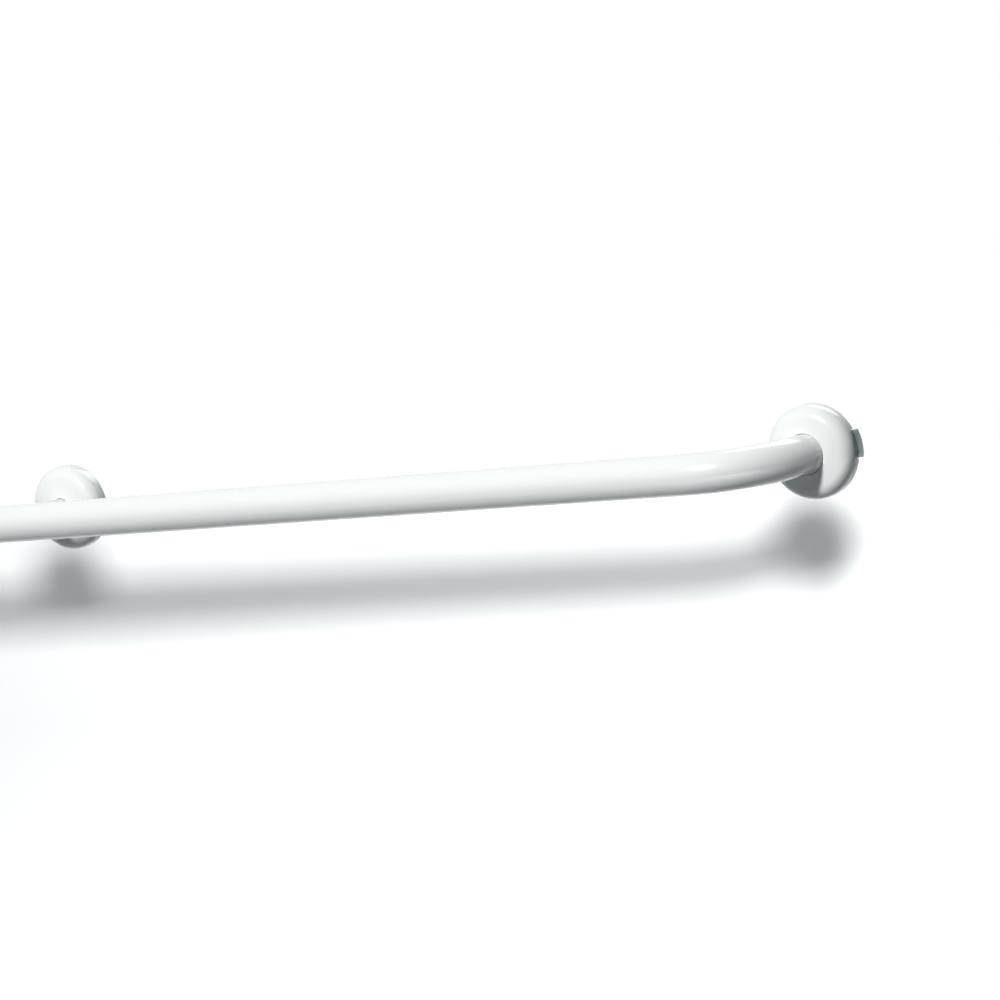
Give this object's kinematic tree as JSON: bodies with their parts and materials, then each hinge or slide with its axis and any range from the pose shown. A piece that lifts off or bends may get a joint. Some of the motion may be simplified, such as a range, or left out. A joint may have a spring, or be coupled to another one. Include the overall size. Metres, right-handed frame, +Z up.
{
  "type": "grab bar",
  "caption": "Wall grab bar: a tube bent back to the wall at its ends, with a middle post and domed push-on covers over the screw plates.",
  "frame": {"origin": "middle of the centre fixing, on the wall plane", "axes": "+X along the bar, +Y into the wall, +Z up"},
  "size_m": [1.582, 0.094, 0.074],
  "materials": {
    "coated_tube": "gloss white powder coat",
    "cover_shell": "gloss white",
    "plate_steel": "dark zinc plating, dull"
  },
  "bodies": {
    "bar": {"bar_tube": "coated_tube", "centre_post": "coated_tube", "plate_right": "plate_steel", "plate_centre": "plate_steel", "plate_left": "plate_steel"},
    "right_cover": {"cover_right": "cover_shell"},
    "centre_cover": {"cover_centre": "cover_shell"},
    "left_cover": {"cover_left": "cover_shell"}
  },
  "joints": [
    {"name": "centre_cover_slide", "type": "slide", "parent": "bar", "child": "centre_cover", "axis": [0, -1, 0], "range_m": [0, 0.039]},
    {"name": "right_cover_travel", "type": "hinge", "parent": "bar", "child": "right_cover", "pos_m": [0.678, -0.006, 0], "axis": [0, 0, -1], "range_deg": [0, 75]},
    {"name": "left_cover_travel", "type": "hinge", "parent": "bar", "child": "left_cover", "pos_m": [-0.678, -0.006, 0], "axis": [0, 0, 1], "range_deg": [0, 75]}
  ]
}
